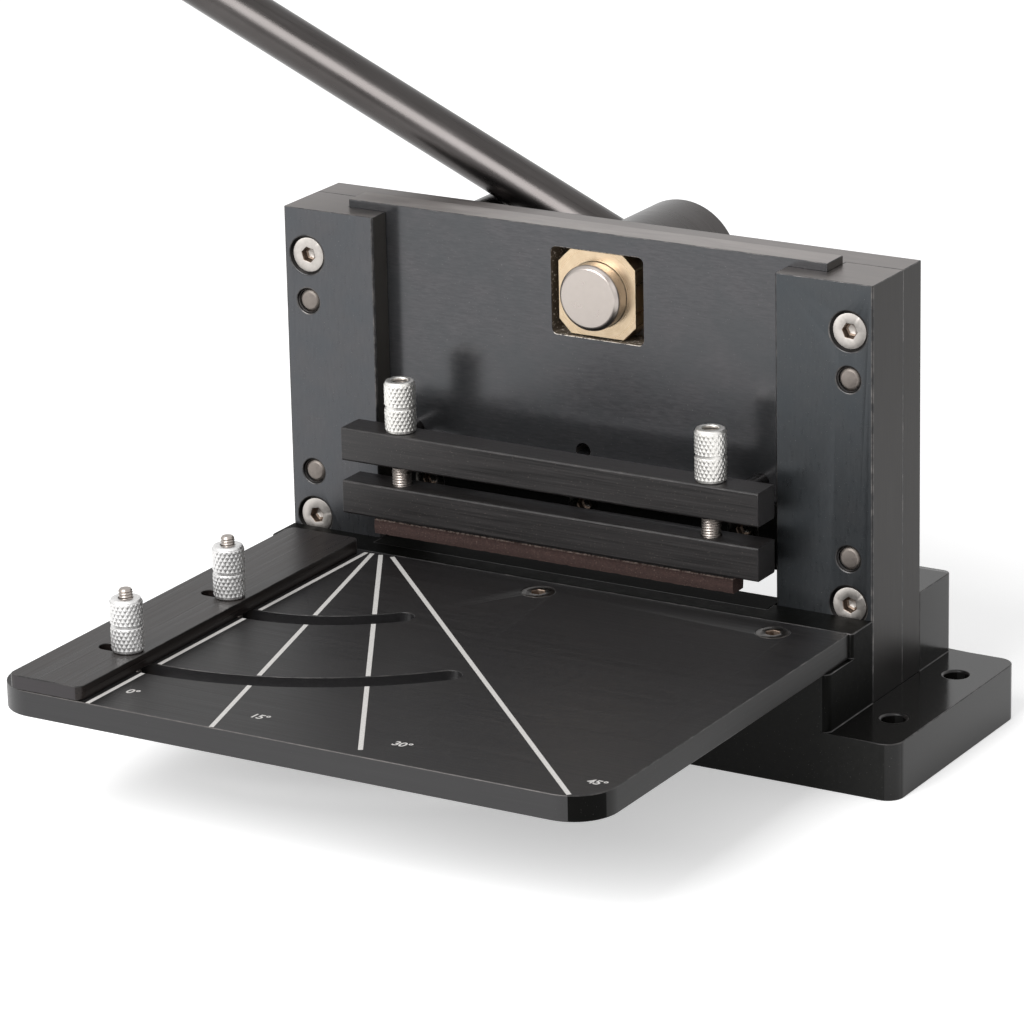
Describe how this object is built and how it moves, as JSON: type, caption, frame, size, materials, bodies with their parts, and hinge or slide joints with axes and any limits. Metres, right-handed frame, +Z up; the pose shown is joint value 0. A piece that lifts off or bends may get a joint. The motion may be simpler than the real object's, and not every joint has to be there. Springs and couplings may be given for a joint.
{
  "type": "guillotine shear",
  "caption": "Bench guillotine shear for thin sheet: lever-driven ram between bolted gibs, hold-down bars, flat table with swinging angle fence, and bolting lugs on the base.",
  "frame": {"origin": "underside of the base, in the middle from left to right, level with the front face of the two gibs", "axes": "+X to the right seen from the front, +Y to the back, +Z up"},
  "size_m": [0.4929, 0.266, 0.3037],
  "materials": {
    "black_anodised": "black anodised over milled or brushed grain",
    "blued_steel": "blackened, ground, slight blue sheen",
    "lever_steel": "blackened drawn bar and tube",
    "black_steel": "black oxide",
    "blade_steel": "ground tool steel",
    "bright_steel": "turned stainless",
    "ground_steel": "ground",
    "zinc_plate": "bright zinc plate over a diamond knurl",
    "bronze": "machined bearing bronze",
    "leather": "brown fibrous leather",
    "black_plastic": "moulded"
  },
  "bodies": {
    "frame": {"base": "black_anodised", "table": "black_anodised", "table_screws": "black_steel", "lower_blade": "blade_steel", "lower_blade_screws": "black_steel", "left_gib": "blued_steel", "right_gib": "blued_steel", "back_plate": "blued_steel", "gib_screws": "bright_steel", "gib_dowels": "bright_steel", "frame_bolts": "black_steel", "ear_bolts": "black_steel", "shaft_bushing": "bronze", "lever_stop_pin": "black_steel"},
    "ram": {"ram": "blued_steel", "upper_blade": "blade_steel", "upper_blade_screws": "black_steel", "upper_clamp_bar": "black_anodised", "bar_standoffs": "black_steel", "bar_screws": "black_steel"},
    "hold_down": {"lower_clamp_bar": "black_anodised", "clamp_pad": "leather", "clamp_studs": "bright_steel"},
    "left_knob": {"left_clamp_knob": "zinc_plate"},
    "right_knob": {"right_clamp_knob": "zinc_plate"},
    "lever": {"eccentric_shaft": "ground_steel", "thrust_washer": "bronze", "lever_hub": "lever_steel", "hub_pin": "bright_steel", "hub_screw": "black_steel", "lever_tube": "lever_steel", "lever_plug": "black_plastic"},
    "block": {"slide_block": "bronze"},
    "fence": {"fence_bar": "black_anodised", "fence_studs": "bright_steel"},
    "front_nut": {"front_fence_nut": "zinc_plate"},
    "rear_nut": {"rear_fence_nut": "zinc_plate"}
  },
  "joints": [
    {"name": "lever_hinge", "type": "hinge", "parent": "frame", "child": "lever", "pos_m": [0, 0.0631, 0.14], "axis": [0, 1, 0], "range_deg": [0, 102]},
    {"name": "ram_slide", "type": "slide", "parent": "frame", "child": "ram", "axis": [0, 0, -1], "range_m": [0, 0.0111]},
    {"name": "hold_down_slide", "type": "slide", "parent": "ram", "child": "hold_down", "axis": [0, 0, 1], "range_m": [0, 0.0045]},
    {"name": "block_hinge", "type": "hinge", "parent": "lever", "child": "block", "pos_m": [0.00448, 0.0155, 0.14554], "axis": [0, 1, 0], "range_deg": [-102, 0]},
    {"name": "left_knob_spin", "type": "hinge", "parent": "hold_down", "child": "left_knob", "pos_m": [-0.0607, -0.01295, 0.1], "axis": [0, 0, 1], "range_deg": [0, 360]},
    {"name": "right_knob_spin", "type": "hinge", "parent": "hold_down", "child": "right_knob", "pos_m": [0.0607, -0.01295, 0.1], "axis": [0, 0, 1], "range_deg": [0, 360]},
    {"name": "fence_swing", "type": "hinge", "parent": "frame", "child": "fence", "pos_m": [-0.0765, -0.022, 0.05], "axis": [0, 0, 1], "range_deg": [0, 45]},
    {"name": "front_nut_spin", "type": "hinge", "parent": "fence", "child": "front_nut", "pos_m": [-0.083, -0.1488, 0.06], "axis": [0, 0, 1], "range_deg": [0, 360]},
    {"name": "rear_nut_spin", "type": "hinge", "parent": "fence", "child": "rear_nut", "pos_m": [-0.083, -0.0886, 0.06], "axis": [0, 0, 1], "range_deg": [0, 360]}
  ],
  "couplings": [
    {"joint": "ram_slide", "follows": "lever_hinge", "m_per_rad": 0.0062216},
    {"joint": "hold_down_slide", "follows": "lever_hinge", "m_per_rad": 0.0025},
    {"joint": "block_hinge", "follows": "lever_hinge", "ratio": -1}
  ]
}
